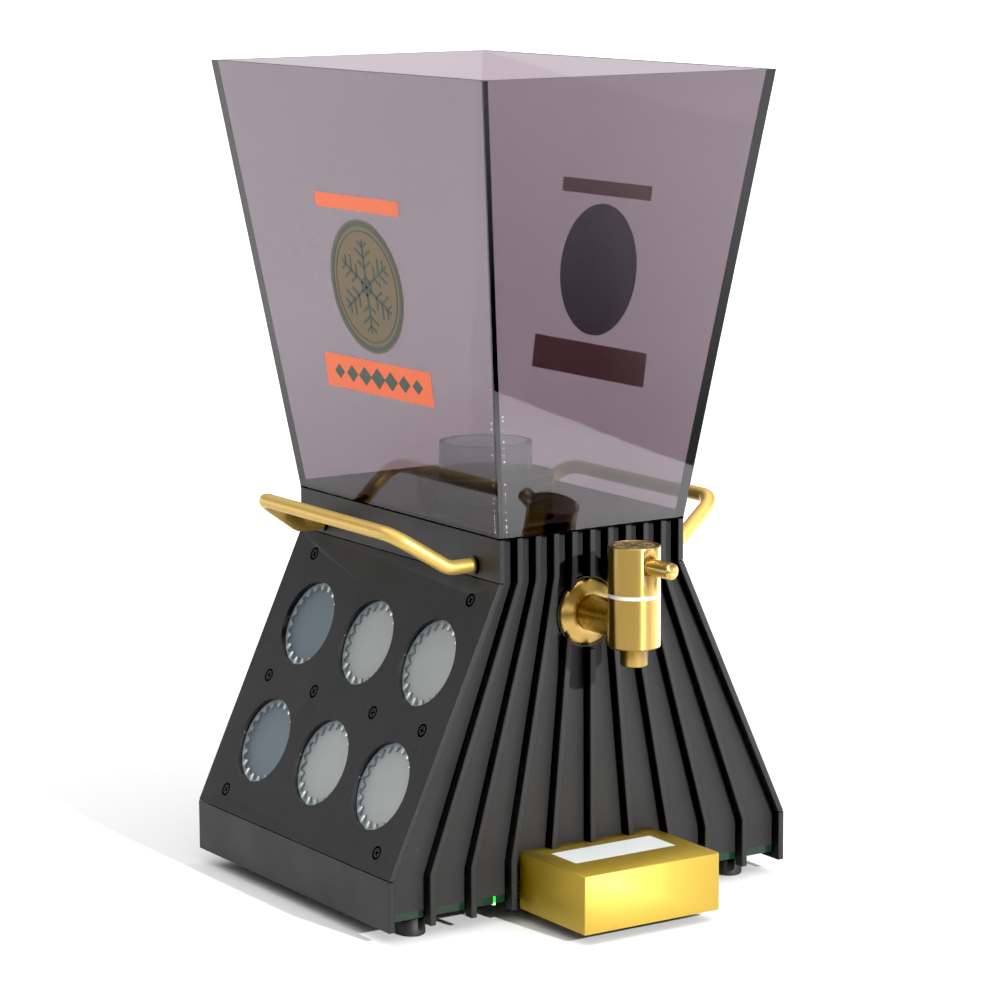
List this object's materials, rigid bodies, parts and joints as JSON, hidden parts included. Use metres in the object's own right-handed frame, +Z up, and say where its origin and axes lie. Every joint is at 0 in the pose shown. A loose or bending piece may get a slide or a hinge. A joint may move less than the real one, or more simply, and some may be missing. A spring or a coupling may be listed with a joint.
{
  "type": "drinks dispenser",
  "caption": "Lit tabletop drinks dispenser: smoked open ice tank on a flared ribbed base with side lamps, gold quarter-turn tap, bar handles and a lit gold glass stand.",
  "frame": {"origin": "on the surface that the four feet stand on, below the centre of the rectangle that the whole part covers", "axes": "+Z up; the tap and the glass stand face -Y; +X to the right seen from the front, so the two lamp panels face -X and +X"},
  "size_m": [0.287, 0.3474, 0.5005],
  "materials": {
    "charcoal_panel": "satin",
    "green_black_acrylic": "gloss",
    "smoked_acrylic": "gloss, transparent",
    "black_rubber": "matte",
    "clear_hose": "satin",
    "nickel_fitting": "satin",
    "frosted_lens": "frosted",
    "black_screw": "satin",
    "tray_plastic": "matte",
    "circuit_board": "satin",
    "polished_gold": "polished",
    "satin_gold": "satin",
    "brushed_gold": "brushed",
    "white_plastic": "satin",
    "black_plastic": "satin",
    "steel_spindle": "satin",
    "white_diffuser": "satin",
    "battery_wrap": "satin",
    "green_light_guide": "gloss"
  },
  "bodies": {
    "housing": {"back_plate": "charcoal_panel", "back_ribs": "charcoal_panel", "base_plate": "green_black_acrylic", "battery_pack": "battery_wrap", "bottle_collar": "smoked_acrylic", "bottle_neck": "smoked_acrylic", "charge_inlet": "black_plastic", "control_board": "circuit_board", "feet": "black_rubber", "front_plate": "charcoal_panel", "front_rib_1": "charcoal_panel", "front_rib_2": "charcoal_panel", "front_rib_3": "charcoal_panel", "front_rib_4": "charcoal_panel", "front_rib_5": "charcoal_panel", "front_rib_6": "charcoal_panel", "front_rib_7": "charcoal_panel", "front_rib_8": "charcoal_panel", "front_rib_9": "charcoal_panel", "handle_fixings": "black_screw", "left_handle": "satin_gold", "left_lamp_panel": "charcoal_panel", "left_lamp_tray": "tray_plastic", "left_led_board": "circuit_board", "left_lenses": "frosted_lens", "left_skirt": "charcoal_panel", "left_top_band": "charcoal_panel", "outlet_fitting": "nickel_fitting", "outlet_nut": "nickel_fitting", "panel_screws": "black_screw", "pilot_lamp": "green_light_guide", "right_handle": "satin_gold", "right_lamp_panel": "charcoal_panel", "right_lamp_tray": "tray_plastic", "right_led_board": "circuit_board", "right_lenses": "frosted_lens", "right_skirt": "charcoal_panel", "right_top_band": "charcoal_panel", "stand_board": "circuit_board", "stand_cover": "tray_plastic", "stand_shell": "brushed_gold", "stand_window": "white_diffuser", "supply_hose": "clear_hose", "switch_housing": "black_plastic", "tank_back_wall": "smoked_acrylic", "tank_floor": "smoked_acrylic", "tank_front_wall": "smoked_acrylic", "tank_gasket": "black_rubber", "tank_left_wall": "smoked_acrylic", "tank_right_wall": "smoked_acrylic", "tap_backing": "black_plastic", "tap_body": "polished_gold", "tap_nut": "nickel_fitting", "tap_ring": "white_plastic", "tap_rosette": "polished_gold", "top_deck": "charcoal_panel"},
    "tap_handle": {"tap_knob": "polished_gold", "tap_lever": "polished_gold", "tap_spindle": "steel_spindle"},
    "power_rocker": {"switch_rocker": "black_plastic"}
  },
  "joints": [
    {"name": "tap_turn", "type": "hinge", "parent": "housing", "child": "tap_handle", "pos_m": [0, -0.13953, 0.2184], "axis": [0, 0, 1], "range_deg": [-5, 85]},
    {"name": "power_rock", "type": "hinge", "parent": "housing", "child": "power_rocker", "pos_m": [0.04305, 0.12617, 0.03], "axis": [1, 0, 0], "range_deg": [0, 16]}
  ]
}
